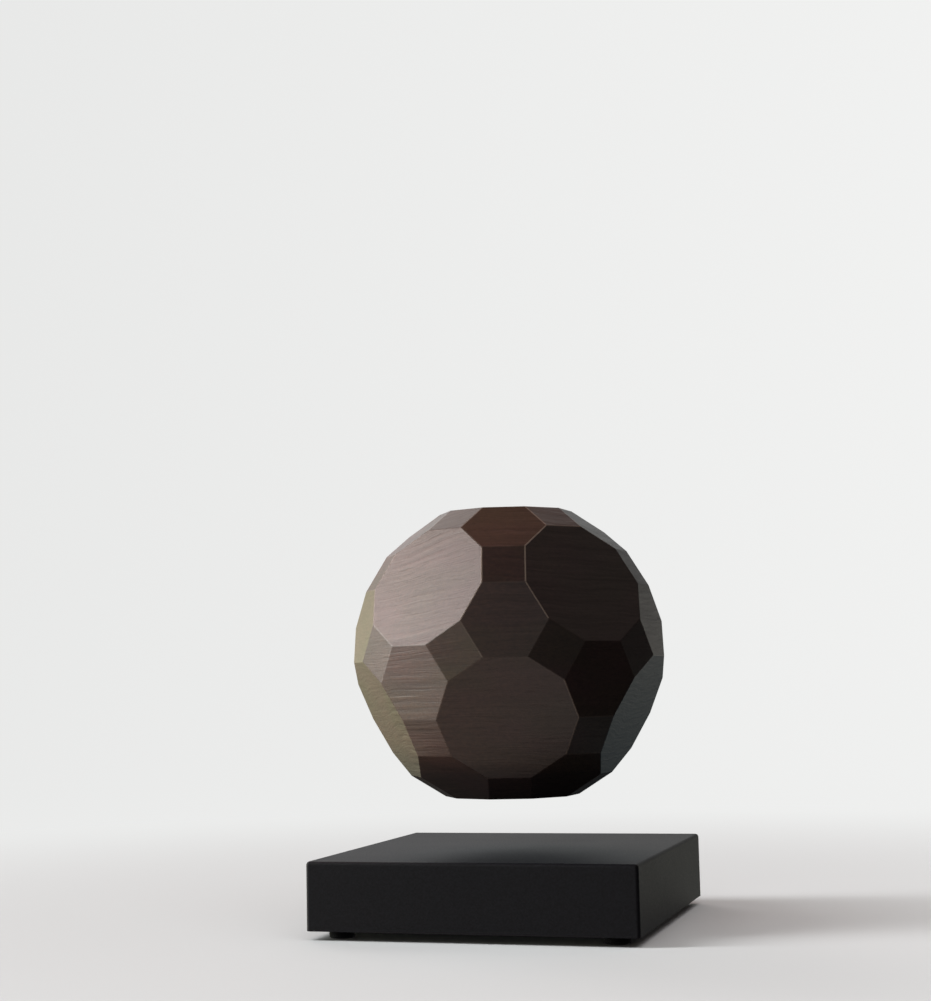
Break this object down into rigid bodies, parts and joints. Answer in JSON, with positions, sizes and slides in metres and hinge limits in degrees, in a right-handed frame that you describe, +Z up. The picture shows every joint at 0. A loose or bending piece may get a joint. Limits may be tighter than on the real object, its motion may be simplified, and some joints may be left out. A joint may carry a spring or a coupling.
{
  "type": "levitating desk ball",
  "caption": "Faceted walnut ball that floats and turns above a flat square black magnetic base on small rubber feet.",
  "frame": {"origin": "on the desk, under the centre of the base and of the floating ball", "axes": "+Z up, the direction the ball floats in; -Y is the base's front and +Y its rear, where the power inlet is; +X is the viewer's right"},
  "size_m": [0.125, 0.125, 0.1604],
  "materials": {
    "top_cover": "satin",
    "bottom_plate": "matte",
    "rubber_feet": "matte",
    "walnut": "satin",
    "screws": "satin",
    "dark_moulding": "matte",
    "inlet_body": "satin",
    "inlet_pin": "polished",
    "ferrite": "matte",
    "nickel_plating": "polished",
    "soft_steel": "satin",
    "copper_winding": "satin",
    "nylon_bobbin": "satin",
    "circuit_board": "satin",
    "capacitor_can": "satin",
    "chip_package": "matte"
  },
  "bodies": {
    "base": {"board_screw_front_left": "screws", "board_screw_front_right": "screws", "board_screw_rear_left": "screws", "board_screw_rear_right": "screws", "bottom_plate": "bottom_plate", "capacitor_left": "capacitor_can", "capacitor_right": "capacitor_can", "carrier_screw_front_left": "screws", "carrier_screw_front_right": "screws", "carrier_screw_rear_left": "screws", "carrier_screw_rear_right": "screws", "coil_bobbin_front": "nylon_bobbin", "coil_bobbin_left": "nylon_bobbin", "coil_bobbin_rear": "nylon_bobbin", "coil_bobbin_right": "nylon_bobbin", "coil_core_front": "soft_steel", "coil_core_left": "soft_steel", "coil_core_rear": "soft_steel", "coil_core_right": "soft_steel", "coil_driver_left": "chip_package", "coil_driver_right": "chip_package", "coil_lead_front": "dark_moulding", "coil_lead_left": "dark_moulding", "coil_lead_rear": "dark_moulding", "coil_lead_right": "dark_moulding", "coil_winding_front": "copper_winding", "coil_winding_left": "copper_winding", "coil_winding_rear": "copper_winding", "coil_winding_right": "copper_winding", "control_board": "circuit_board", "controller_chip": "chip_package", "cover_screw_front_left": "screws", "cover_screw_front_right": "screws", "cover_screw_rear_left": "screws", "cover_screw_rear_right": "screws", "foot_front_left": "rubber_feet", "foot_front_right": "rubber_feet", "foot_rear_left": "rubber_feet", "foot_rear_right": "rubber_feet", "hall_sensor_x": "chip_package", "hall_sensor_y": "chip_package", "hall_sensor_z": "chip_package", "inductor": "ferrite", "magnet_carrier": "dark_moulding", "power_inlet": "inlet_body", "power_inlet_pin": "inlet_pin", "ring_magnet": "ferrite", "sensor_board": "circuit_board", "sensor_ribbon": "nylon_bobbin", "top_cover": "top_cover"},
    "floating_magnet_pack": {"floating_magnet": "nickel_plating", "magnet_back_plate": "soft_steel"},
    "ball": {"ball_lower_shell": "walnut", "ball_upper_shell": "walnut", "magnet_retainer": "dark_moulding", "retainer_screw_1": "screws", "retainer_screw_2": "screws", "retainer_screw_3": "screws"}
  },
  "joints": [
    {"name": "ball_lift", "type": "slide", "parent": "base", "child": "floating_magnet_pack", "axis": [0, 0, 1], "range_m": [-0.0198, 0.06], "stiffness_N_per_m": 250, "springref_m": 0.01538},
    {"name": "ball_spin", "type": "hinge", "parent": "floating_magnet_pack", "child": "ball", "pos_m": [0, 0, 0.10448], "axis": [0, 0, 1], "continuous": true}
  ]
}
